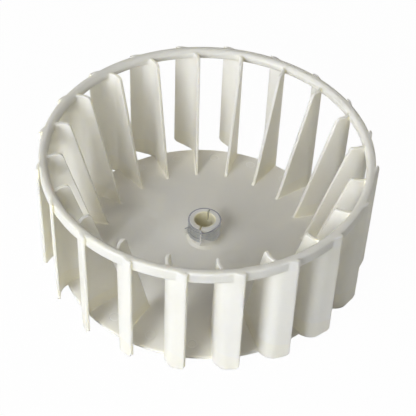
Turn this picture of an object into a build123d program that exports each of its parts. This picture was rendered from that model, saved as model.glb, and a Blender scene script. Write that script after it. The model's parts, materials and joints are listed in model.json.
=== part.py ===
from build123d import *
import os
from math import cos, degrees, radians, sin

os.makedirs("parts", exist_ok=True)

# Dryer blower wheel: one moulding of back plate, hub, hooked blades and front ring, and the
# spring clamp that squeezes the split hub onto the motor shaft. The wheel stands on its back
# plate, its axis is Z and its open inlet side is up. Lengths are in millimetres, angles in degrees.

# Whole wheel
tip_radius = 100.0
wheel_height = 82.6
blade_count = 20

# Back plate, a shallow cone that rises from its rim to the hub; the tips stand out past its rim
plate_inset = 11.0
plate_thickness = 2.0
plate_rise = 7.0
plate_rim_bevel = 0.5

# Front ring, just inside the blade tips; its bevels make the inside a rounded mouth for the air
ring_inset = 2.5
ring_width = 5.1
ring_depth = 7.3
ring_mouth_bevel = 1.8
ring_inside_bevel = 2.6
ring_outside_bevel = 0.4

# Blade seen from above: a straight tail at the tip, a round hook and a straight inner run.
# The tail's lower edge slants up to a round corner, clear of the ground the plate stands on.
blade_thickness = 1.8
tail_length = 7.2
tail_lean = 64.8
hook_radius = 10.9
hook_turn = 74.7
tail_cut_length = 9.0
tail_cut_rise = 3.3
tail_corner_round = 3.5

# Blade seen from the side: a slanted inner edge from a flared foot to a rounded shoulder
foot_reach = 38.0
foot_round = 3.0
foot_sink = 0.2
shoulder_reach = 9.2
shoulder_drop = 1.3
shoulder_round = 2.4
shoulder_step = 1.3
tip_draft = 0.5
tip_top_round = 1.4

# Hub, split by two slits so that the clamp can close it on the shaft
bore_radius = 6.35
hub_radius = 9.3
hub_height = 24.6
hub_base_bevel = 1.4
slit_width = 1.0
slit_depth = 7.0
slit_angle = 77.6

# Spring clamp: a band whose tongue passes through a window in its other end
clamp_gap = 0.1
clamp_thickness = 0.9
clamp_width = 10.0
clamp_below_hub_top = 0.3
tongue_width = 4.8
tongue_offset = 0.7
tongue_gap = 0.4
tab_bend = 0.9
tongue_tab_angle = 212.0
tongue_tab_reach = 3.3
window_tab_angle = 266.5
window_tab_reach = 2.7
window_start_angle = 202.0
window_bridge = 1.3
taper_start_angle = 313.0
taper_end_angle = 277.0
join_angle = 1.0

plate_radius = tip_radius - plate_inset
ring_outer_radius = tip_radius - ring_inset
ring_inner_radius = ring_outer_radius - ring_width
ring_middle_radius = ring_outer_radius - ring_width / 2
shoulder_radius = ring_inner_radius - shoulder_reach
foot_radius = tip_radius - foot_reach
plate_slope = plate_rise / (plate_radius - hub_radius)


def plate_floor(radius):
    """Height of the plate's upper face at a distance from the axis."""
    return plate_thickness + plate_slope * (plate_radius - radius)


# One blade on the +X side, as the plan outline kept inside the side outline
with BuildPart() as blade:
    with BuildSketch(Plane.XY) as plan:
        with BuildLine() as back_of_blade:
            tail = PolarLine((tip_radius, 0), tail_length, 180 + tail_lean)
            hook = JernArc(tail @ 1, tail % 1, hook_radius, -hook_turn)
            PolarLine(hook @ 1, foot_reach, direction=hook % 1)
            offset(amount=blade_thickness, side=Side.RIGHT, closed=True)
        make_face()
    extrude(amount=wheel_height)
    tail_direction = (tail % 1).normalized()
    tail_plane = Plane(
        origin=(tip_radius, 0, 0), x_dir=tail_direction, z_dir=(tail_direction.Y, -tail_direction.X, 0)
    )
    with BuildSketch(tail_plane) as tail_side:
        with BuildLine():
            Polyline(
                (0, tail_cut_rise),
                (tail_cut_length, 0),
                (tip_radius, 0),
                (tip_radius, wheel_height),
                (0, wheel_height),
                close=True,
            )
        make_face()
        tail_corner = tail_side.vertices().sort_by_distance((0, tail_cut_rise))[0]
        fillet(tail_corner, tail_corner_round)
    extrude(amount=tip_radius, both=True, mode=Mode.INTERSECT)
    with BuildSketch(Plane.XZ) as side:
        toe_radius = foot_radius - 2 * foot_round
        foot = (foot_radius, plate_floor(foot_radius) - foot_sink)
        shoulder = (shoulder_radius, wheel_height - shoulder_drop)
        tip_top = (tip_radius - tip_draft, wheel_height)
        with BuildLine():
            Polyline(
                (toe_radius, plate_floor(toe_radius) - foot_sink),
                foot,
                shoulder,
                (ring_inner_radius, wheel_height - shoulder_step),
                (ring_middle_radius, wheel_height - shoulder_step),
                (ring_middle_radius, wheel_height),
                tip_top,
                (tip_radius, 0),
                (plate_radius - plate_thickness, 0),
                (plate_radius - plate_thickness, plate_thickness / 2),
                (toe_radius, plate_floor(toe_radius) - plate_thickness / 2),
                close=True,
            )
        make_face()
        for corner, rounding in ((shoulder, shoulder_round), (tip_top, tip_top_round), (foot, foot_round)):
            fillet(side.vertices().sort_by_distance(corner)[0], rounding)
    extrude(amount=tip_radius, both=True, mode=Mode.INTERSECT)

# The whole moulding
with BuildPart() as blower_wheel:
    with BuildSketch(Plane.XZ) as plate_section:
        with BuildLine():
            Polyline((bore_radius, 0), (hub_radius, 0),
                     (hub_radius, plate_floor(hub_radius) - plate_thickness), (plate_radius, 0),
                     (plate_radius, plate_thickness), (hub_radius, plate_floor(hub_radius)),
                     (hub_radius, hub_height), (bore_radius, hub_height), close=True)
        make_face()
        chamfer(plate_section.vertices().group_by(Axis.X)[-1], plate_rim_bevel)
        hub_base = plate_section.vertices().sort_by_distance((hub_radius, plate_floor(hub_radius)))[0]
        chamfer(hub_base, hub_base_bevel)
    revolve(axis=Axis.Z)
    with BuildSketch(Plane.XZ) as ring_section:
        with Locations((ring_inner_radius, wheel_height)):
            Rectangle(ring_width, ring_depth, align=(Align.MIN, Align.MAX))
        ring_bottom = wheel_height - ring_depth
        for corner, bevel in (
            ((ring_inner_radius, wheel_height), ring_mouth_bevel),
            ((ring_inner_radius, ring_bottom), ring_inside_bevel),
            ((ring_outer_radius, wheel_height), ring_outside_bevel),
            ((ring_outer_radius, ring_bottom), ring_outside_bevel),
        ):
            chamfer(ring_section.vertices().sort_by_distance(corner)[0], bevel)
    revolve(axis=Axis.Z)
    with PolarLocations(0, blade_count):
        add(blade.part)
    with BuildSketch(Plane.XY.offset(hub_height)) as slit:
        Rectangle(2 * hub_radius + slit_width, slit_width, rotation=slit_angle)
    extrude(amount=-slit_depth, mode=Mode.SUBTRACT)

# The clamp's radii and heights follow the hub
band_inner = hub_radius + clamp_gap
band_middle = band_inner + clamp_thickness / 2
band_outer = band_inner + clamp_thickness
band_top = hub_height - clamp_below_hub_top
band_bottom = band_top - clamp_width
tongue_middle = band_bottom + clamp_width / 2 + tongue_offset
window_width = tongue_width + 2 * tongue_gap


# A tab's bend ends on its own radial line, so the band stops short of it by the bend's size
bend_share = degrees(tab_bend / band_middle)

with BuildPart() as hub_clamp:
    # Full width round the back and sides, down to the root of the tongue
    with BuildSketch(Plane.XY.offset(band_bottom)) as band:
        with BuildLine():
            outer_arc = CenterArc((0, 0), band_outer, taper_end_angle, 360 + window_start_angle - taper_end_angle)
            inner_arc = CenterArc((0, 0), band_inner, taper_end_angle, 360 + window_start_angle - taper_end_angle)
            Line(outer_arc @ 0, inner_arc @ 0)
            Line(outer_arc @ 1, inner_arc @ 1)
        make_face()
    extrude(amount=clamp_width)
    # The tongue narrows from the band's width, seen square to its middle
    taper_angle = (taper_start_angle + taper_end_angle) / 2
    taper_half = band_outer * sin(radians(taper_start_angle - taper_angle))
    facing = Plane(
        origin=(0, 0, tongue_middle),
        x_dir=(-sin(radians(taper_angle)), cos(radians(taper_angle)), 0),
        z_dir=(cos(radians(taper_angle)), sin(radians(taper_angle)), 0),
    )
    above = band_top - tongue_middle
    below = tongue_middle - band_bottom
    with BuildSketch(facing) as beside_tongue:
        with BuildLine():
            Polyline((-2 * taper_half, tongue_width / 2), (-taper_half, tongue_width / 2), (taper_half, above),
                     (taper_half, clamp_width), (-2 * taper_half, clamp_width), close=True)
        make_face()
        with BuildLine():
            Polyline((-2 * taper_half, -tongue_width / 2), (-taper_half, -tongue_width / 2), (taper_half, -below),
                     (taper_half, -clamp_width), (-2 * taper_half, -clamp_width), close=True)
        make_face()
    extrude(amount=2 * band_outer, mode=Mode.SUBTRACT)
    # The tongue runs inside the window and turns outward at its tip
    with BuildSketch(Plane.XY.offset(tongue_middle - tongue_width / 2)) as tongue:
        with BuildLine():
            root_angle = taper_end_angle + join_angle
            round_hub = CenterArc((0, 0), band_middle, root_angle, tongue_tab_angle + bend_share - root_angle)
            bend = JernArc(round_hub @ 1, round_hub % 1, tab_bend, 90)
            PolarLine(bend @ 1, tongue_tab_reach - tab_bend, direction=bend % 1)
            offset(amount=clamp_thickness / 2, side=Side.BOTH, kind=Kind.INTERSECTION)
        make_face()
    extrude(amount=tongue_width)

# The window end: the band goes on past the tongue's tip and turns outward, open in the middle
with BuildPart() as window_end:
    with BuildSketch(Plane.XY.offset(band_bottom)) as strip:
        with BuildLine():
            root_angle = window_start_angle - join_angle
            round_hub = CenterArc((0, 0), band_middle, root_angle, window_tab_angle - bend_share - root_angle)
            bend = JernArc(round_hub @ 1, round_hub % 1, tab_bend, -90)
            PolarLine(bend @ 1, window_tab_reach - tab_bend, direction=bend % 1)
            offset(amount=clamp_thickness / 2, side=Side.BOTH, kind=Kind.INTERSECTION)
        make_face()
    extrude(amount=clamp_width)
    with BuildSketch(Plane.XY.offset(tongue_middle - window_width / 2)) as window:
        with BuildLine():
            reach = band_outer + window_tab_reach - window_bridge
            window_sweep = window_tab_angle + bend_share - window_start_angle
            wide_arc = CenterArc((0, 0), reach, window_start_angle + join_angle, window_sweep)
            near_arc = CenterArc((0, 0), hub_radius, window_start_angle + join_angle, window_sweep)
            Line(wide_arc @ 0, near_arc @ 0)
            Line(wide_arc @ 1, near_arc @ 1)
        make_face()
    extrude(amount=window_width, mode=Mode.SUBTRACT)

with hub_clamp:
    add(window_end.part)

blower_wheel.part.label = "blower_wheel"
export_step(blower_wheel.part, "parts/blower_wheel.step")
hub_clamp.part.label = "hub_clamp"
export_step(hub_clamp.part, "parts/hub_clamp.step")
for name, part in (("blower_wheel", blower_wheel.part), ("hub_clamp", hub_clamp.part)):
    box = part.bounding_box()
    print(name, len(part.solids()), "solid", round(part.volume), "mm3", tuple(box.min), tuple(box.max))
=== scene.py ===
import json
from math import cos, radians, sin, tau

import bpy
from mathutils import Matrix, Vector


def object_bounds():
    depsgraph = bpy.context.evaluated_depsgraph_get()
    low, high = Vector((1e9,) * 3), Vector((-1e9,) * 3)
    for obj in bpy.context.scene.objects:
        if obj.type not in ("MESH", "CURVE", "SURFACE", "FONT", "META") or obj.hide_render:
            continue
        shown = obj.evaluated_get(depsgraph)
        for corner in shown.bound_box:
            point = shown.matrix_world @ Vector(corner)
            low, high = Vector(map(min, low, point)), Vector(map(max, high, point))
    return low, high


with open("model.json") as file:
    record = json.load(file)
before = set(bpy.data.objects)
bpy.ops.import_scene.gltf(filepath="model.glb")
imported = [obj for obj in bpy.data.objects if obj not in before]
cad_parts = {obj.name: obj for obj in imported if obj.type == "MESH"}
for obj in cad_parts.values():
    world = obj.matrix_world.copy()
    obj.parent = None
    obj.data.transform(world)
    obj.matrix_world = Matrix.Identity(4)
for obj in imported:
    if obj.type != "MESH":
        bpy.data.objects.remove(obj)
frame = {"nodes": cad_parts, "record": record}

cad_low, cad_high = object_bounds()

# The wheel is one moulding in ivory polypropylene: back plate, hub, hooked blades and front ring. Its
# mould leaves a fine even skin, faint flow marks that run out from the hub, and a round ejector mark
# on the plate between each two blades, whose rim is painted paler as a painted highlight. The plate
# and blade feet and the ring are painted darker and warmer as painted shade, and the bore is painted
# paler and warmer as a painted glow.
blade_count = 20
blade_pitch = tau / blade_count
plate_highest = 0.0125
ring_depth = 0.0073
ring_bottom = cad_high[2] - ring_depth
ring_inside = 0.0924
ring_tint_outside = 0.0972
shaft_bore = next(mount for mount in frame["record"]["mounts"] if mount["name"] == "shaft_bore")
bore_radius = shaft_bore["dims"]["r_mm"] / 1000

ejector_circle = 0.0802
ejector_radius = 0.0028
ejector_groove = 0.0006
ejector_angle = radians(1.7)

moulded_edge = 0.0009
moulded_ring_edge = 0.0024
flow_round = 2.2
flow_outward = 12
skin_relief = 0.0002
grain_height = 0.12
cloud_height = 0.6
ejector_depth = 2.4
satin = 0.36
satin_spread = 0.16

ivory = (0.84, 0.823, 0.78, 1.0)
ivory_shade = (0.81, 0.787, 0.725, 1.0)
# Painted glow: the bore is painted paler and warmer than the ivory.
bore_painted_glow = (0.95, 0.90, 0.70, 1.0)
# Painted shade: the plate and blade feet are painted a little darker and warmer.
plate_painted_shade = (0.84, 0.812, 0.73, 1.0)
# Painted highlight: the rim of each ejector mark is painted paler.
ejector_painted_highlight = (0.92, 0.91, 0.87, 1.0)
# Painted shade: the ring is painted a little darker and warmer.
ring_painted_shade = (0.81, 0.788, 0.72, 1.0)
shade_start = 0.35
shade_full = 0.75
plate_shade_share = 0.8
mark_highlight_share = 0.45
tint_fade = 0.0010
ring_tint_lead = 0.0006


class Finish:
    """A socket in a material's node tree; arithmetic on it adds Math nodes."""

    def __init__(self, tree, socket=None):
        self.tree = tree
        self.socket = socket

    def node(self, kind, settings=None, inputs=None, output=0):
        """Adds one node: its settings first, then the values or links of its inputs."""
        made = self.tree.nodes.new(kind)
        for name, value in (settings or {}).items():
            setattr(made, name, value)
        for name, value in (inputs or {}).items():
            if isinstance(value, Finish):
                self.tree.links.new(value.socket, made.inputs[name])
            else:
                made.inputs[name].default_value = value
        return Finish(self.tree, made.outputs[output] if made.outputs else None)

    def maths(self, operation, *others):
        """A Math node on this value and the others."""
        return self.node("ShaderNodeMath", {"operation": operation}, dict(enumerate((self, *others))))

    def __add__(self, other):
        return self.maths("ADD", other)

    def __sub__(self, other):
        return self.maths("SUBTRACT", other)

    def __mul__(self, other):
        return self.maths("MULTIPLY", other)

    def __truediv__(self, other):
        return self.maths("DIVIDE", other)

    __radd__ = __add__
    __rmul__ = __mul__

    def __rsub__(self, other):
        return self * -1 + other

    def step(self, low, high):
        """0 below low, 1 above high and smooth between them."""
        limits = {"Value": self, "From Min": low, "From Max": high}
        return self.node("ShaderNodeMapRange", {"interpolation_type": "SMOOTHSTEP"}, limits)

    def tint(self, first, second):
        """The colour between first and second that this mask picks."""
        return self.node("ShaderNodeMix", {"data_type": "RGBA"}, {0: self, 6: first, 7: second}, output=2)


def start_finish(name):
    """A material with an empty node tree, and the Finish that adds nodes to it."""
    material = bpy.data.materials.new(name)
    material.use_nodes = True
    material.node_tree.nodes.clear()
    return material, Finish(material.node_tree)


def find_place(finish):
    """The place on the piece in metres, its three coordinates, and its distance from the axis."""
    place = finish.node("ShaderNodeTexCoord", output="Object")
    x, y, z = (finish.node("ShaderNodeSeparateXYZ", inputs={0: place}, output=axis) for axis in "XYZ")
    return place, x, y, z, (x * x + y * y).maths("SQRT")


moulded, skin = start_finish("moulded_ivory")
place, x, y, z, out_from_axis = find_place(skin)
around = y.maths("ARCTAN2", x)
off_middle = (((around - ejector_angle) / blade_pitch + 0.5).maths("FRACT") - 0.5) * blade_pitch
along_mark = out_from_axis * off_middle.maths("COSINE") - ejector_circle
across_mark = out_from_axis * off_middle.maths("SINE")
from_mark = (along_mark * along_mark + across_mark * across_mark).maths("SQRT")
groove = (from_mark - ejector_radius).maths("ABSOLUTE").step(0.0, ejector_groove)
on_plate = 1 - z.step(plate_highest, plate_highest + tint_fade)
ejector_dent = (1 - groove) * on_plate
in_bore = 1 - out_from_axis.step(bore_radius, bore_radius + tint_fade)
past_inside = out_from_axis.step(ring_inside - ring_tint_lead, ring_inside)
past_outside = out_from_axis.step(ring_tint_outside, ring_tint_outside + tint_fade)
above_bottom = z.step(ring_bottom - ring_tint_lead, ring_bottom + tint_fade)
on_ring = above_bottom * (past_inside - past_outside)

flow_place = skin.node("ShaderNodeCombineXYZ", inputs={
    0: around * flow_round, 1: out_from_axis * flow_outward, 2: z * flow_outward,
})
flow = skin.node("ShaderNodeTexNoise", inputs={"Vector": flow_place, "Scale": 1.0, "Detail": 3.0})
clouds = skin.node("ShaderNodeTexNoise", inputs={"Vector": place, "Scale": 38.0, "Detail": 4.0})
grain = skin.node("ShaderNodeTexNoise", inputs={"Vector": place, "Scale": 2600.0, "Detail": 2.0})
colour = (flow * 0.5 + clouds * 0.5).step(shade_start, shade_full).tint(ivory, ivory_shade)
# Painted light: shade on the plate and ring, a highlight on each ejector mark's rim, a glow in the bore.
for mask, other_ivory in (
    (on_plate * plate_shade_share, plate_painted_shade),
    (ejector_dent * mark_highlight_share, ejector_painted_highlight),
    (on_ring, ring_painted_shade),
    (in_bore, bore_painted_glow),
):
    colour = mask.tint(colour, other_ivory)

edge_round = skin.node("ShaderNodeBevel", {"samples": 6}, {"Radius": moulded_edge})
ring_round = skin.node("ShaderNodeBevel", {"samples": 8}, {"Radius": moulded_ring_edge})
rounds = {0: on_ring, 4: edge_round, 5: ring_round}
relief = skin.node("ShaderNodeBump", inputs={
    "Strength": 0.35,
    "Distance": skin_relief,
    "Height": grain * grain_height + clouds * cloud_height - ejector_dent * ejector_depth,
    "Normal": skin.node("ShaderNodeMix", {"data_type": "VECTOR"}, rounds, output=1),
})
plastic = skin.node("ShaderNodeBsdfPrincipled", {"subsurface_method": "BURLEY"}, {
    "Base Color": colour,
    "Roughness": satin + clouds * satin_spread,
    "IOR": 1.49,
    "Subsurface Weight": 0.9,
    "Subsurface Radius": (1.0, 0.94, 0.55),
    "Subsurface Scale": 0.0032,
    "Normal": relief,
})
skin.node("ShaderNodeOutputMaterial", inputs={"Surface": plastic})


def coat(node_name, material):
    """Gives a CAD node one material all over."""
    node = frame["nodes"][node_name]
    if not node.material_slots:
        node.data.materials.append(material)
    for slot in node.material_slots:
        slot.material = material


coat("blower_wheel", moulded)

# The clamp is one strip of zinc plated spring steel, blanked and rolled round the hub; its cut edges,
# which face up and down, are painted dark as painted shade. Pliers spring it open by its two tabs,
# which are painted bright as a painted highlight. Released, it squeezes the slit hub onto the shaft.
blanked_edge = 0.00015
tab_root_radius = 0.0110
tab_fade = 0.0006
edge_facing_start = 0.8
edge_facing_full = 0.95
rolled_along = 60
rolled_across = 5200
dull_start = 0.35
dull_full = 0.7

zinc = (0.70, 0.71, 0.72, 1.0)
zinc_dark = (0.47, 0.49, 0.52, 1.0)
# Painted shade: the up- and down-facing edges are painted dark.
zinc_edge_painted_shade = (0.28, 0.28, 0.30, 1.0)
# Painted highlight: the tabs are painted bright.
zinc_tab_painted_highlight = (0.95, 0.95, 0.94, 1.0)
zinc_roughness = 0.24
dull_roughness = 0.16
cut_roughness = 0.2
tab_polish = 0.08

plated, plating = start_finish("zinc_plated_steel")
place, x, y, z, out_from_axis = find_place(plating)
rolled_place = plating.node("ShaderNodeCombineXYZ", inputs={
    0: x * rolled_along, 1: y * rolled_along, 2: z * rolled_across,
})
rolling = plating.node("ShaderNodeTexNoise", inputs={"Vector": rolled_place, "Scale": 1.0, "Detail": 3.0})
spangle = plating.node("ShaderNodeTexNoise", inputs={"Vector": place, "Scale": 420.0, "Detail": 2.0})
dull = (rolling * 0.5 + spangle * 0.5).step(dull_start, dull_full)
facing = plating.node("ShaderNodeNewGeometry", output="True Normal")
facing_up_or_down = plating.node("ShaderNodeSeparateXYZ", inputs={0: facing}, output="Z").maths("ABSOLUTE")
# Faces that point up or down, the cut edges: painted dark as painted shade, and rougher.
cut = facing_up_or_down.step(edge_facing_start, edge_facing_full)
# The tabs, past their root radius: painted bright as a painted highlight, and smoother.
on_tabs = out_from_axis.step(tab_root_radius, tab_root_radius + tab_fade)
relief = plating.node("ShaderNodeBump", inputs={
    "Strength": 0.3,
    "Distance": 0.00003,
    "Height": rolling + spangle * 0.5,
    "Normal": plating.node("ShaderNodeBevel", {"samples": 6}, {"Radius": blanked_edge}),
})
steel = plating.node("ShaderNodeBsdfPrincipled", inputs={
    "Base Color": cut.tint(on_tabs.tint(dull.tint(zinc, zinc_dark), zinc_tab_painted_highlight), zinc_edge_painted_shade),
    "Metallic": 1.0,
    "Roughness": zinc_roughness + dull * dull_roughness + cut * cut_roughness - on_tabs * tab_polish,
    "Normal": relief,
})
plating.node("ShaderNodeOutputMaterial", inputs={"Surface": steel})
coat("hub_clamp", plated)

# The wheel stands on its back plate, on a plain pale floor in a white room. The camera, gloss and
# clear material see that white. All that lights the wheel is the lamps and what the floor sends back
# of them, and the floor keeps a faint shadow.
floor_reach = 3.0
floor_pale = (0.82, 0.82, 0.81, 1.0)
floor_white_share = 0.98


def seen_directly(finish):
    """1 for what the camera, a reflection or clear material sees, and 0 for what lights."""
    kinds = ("Is Camera Ray", "Is Glossy Ray", "Is Transmission Ray")
    camera, glossy, through = (finish.node("ShaderNodeLightPath", output=kind) for kind in kinds)
    return camera.maths("MAXIMUM", glossy).maths("MAXIMUM", through)


pale, floor_paint = start_finish("pale_floor")
floor_surface = floor_paint.node("ShaderNodeMixShader", inputs={
    0: seen_directly(floor_paint) * floor_white_share,
    1: floor_paint.node("ShaderNodeBsdfDiffuse", inputs={"Color": floor_pale}),
    2: floor_paint.node("ShaderNodeEmission", inputs={"Strength": 1.0}),
})
floor_paint.node("ShaderNodeOutputMaterial", inputs={"Surface": floor_surface})

floor_mesh = bpy.data.meshes.new("floor")
sides = ((-1, -1), (1, -1), (1, 1), (-1, 1))
corners = [(along * floor_reach, across * floor_reach, cad_low[2]) for along, across in sides]
floor_mesh.from_pydata(corners, [], [(0, 1, 2, 3)])
floor_mesh.materials.append(pale)
floor = bpy.data.objects.new("floor", floor_mesh)
bpy.context.scene.collection.objects.link(floor)

room = bpy.data.worlds.new("room")
bpy.context.scene.world = room
room.use_nodes = True
room.node_tree.nodes.clear()
air = Finish(room.node_tree)
air_surface = air.node("ShaderNodeMixShader", inputs={
    0: seen_directly(air),
    1: air.node("ShaderNodeBackground", inputs={"Strength": 0.0}),
    2: air.node("ShaderNodeBackground", inputs={"Color": (1.0, 1.0, 1.0, 1.0), "Strength": 1.0}),
})
air.node("ShaderNodeOutputWorld", inputs={"Surface": air_surface})

# Soft studio light: three softboxes stand close together at the front left and do most of the
# lighting. Weaker ones at the front, above, at the sides and at the back lift the shade between the
# blades. The strong ones are a little cool, and the ones above and at the back a little warm.
aim = Vector((0.0, 0.0, 0.04))
lamp_distance = 1.4
softbox_size = 0.6
cool_white = (0.91, 0.945, 1.0)
soft_white = (1.0, 0.99, 0.97)
warm_white = (1.0, 0.94, 0.82)


def direction(azimuth, elevation):
    """From the wheel to a lamp or the camera; azimuth 0 is the front and 90 the right."""
    turn, lift = radians(azimuth), radians(elevation)
    return Vector((sin(turn) * cos(lift), -cos(turn) * cos(lift), sin(lift)))


def softbox(name, azimuth, elevation, watts, colour):
    """A square area lamp that faces the wheel."""
    data = bpy.data.lights.new(name, "AREA")
    data.size = softbox_size
    data.energy = watts
    data.color = colour
    lamp = bpy.data.objects.new(name, data)
    away = direction(azimuth, elevation)
    lamp.location = aim + away * lamp_distance
    lamp.rotation_euler = away.to_track_quat("Z", "Y").to_euler()
    bpy.context.scene.collection.objects.link(lamp)


softbox("key_low", -30, 20, 9.3, cool_white)
softbox("key_high", -30, 40, 7.0, cool_white)
softbox("key_left", -57, 20, 2.0, (0.96, 0.98, 1.0))
softbox("front_fill", 12, 26, 1.6, soft_white)
softbox("overhead", 0, 86, 1.8, (1.0, 0.98, 0.93))
softbox("right_rim", 110, 18, 1.3, soft_white)
softbox("left_rim", -110, 18, 3.0, soft_white)
softbox("back_right", 150, 18, 1.6, warm_white)
softbox("back_left", -150, 18, 1.2, warm_white)

# The camera stands in front of the wheel and looks down into it, slightly turned and rolled. Its
# place and lens were fitted to the ring, the plate's rim and the blade tips in the photograph.
camera_azimuth = 4.6146
camera_elevation = 44.8664
camera_roll = 2.5936
camera_distance = 0.7222
camera_aim = Vector((0.00189, -0.00253, 0.03726))
focal_length = 103.3655
film_width = 36.0
nearest_seen = 0.01

view = bpy.data.cameras.new("camera")
view.lens = focal_length
view.sensor_width = film_width
view.clip_start = nearest_seen
camera = bpy.data.objects.new("camera", view)
away = direction(camera_azimuth, camera_elevation)
camera.matrix_world = (
    Matrix.Translation(camera_aim + away * camera_distance)
    @ away.to_track_quat("Z", "Y").to_matrix().to_4x4()
    @ Matrix.Rotation(radians(camera_roll), 4, "Z")
)
bpy.context.scene.collection.objects.link(camera)
bpy.context.scene.camera = camera
bpy.context.scene.view_settings.view_transform = "Standard"
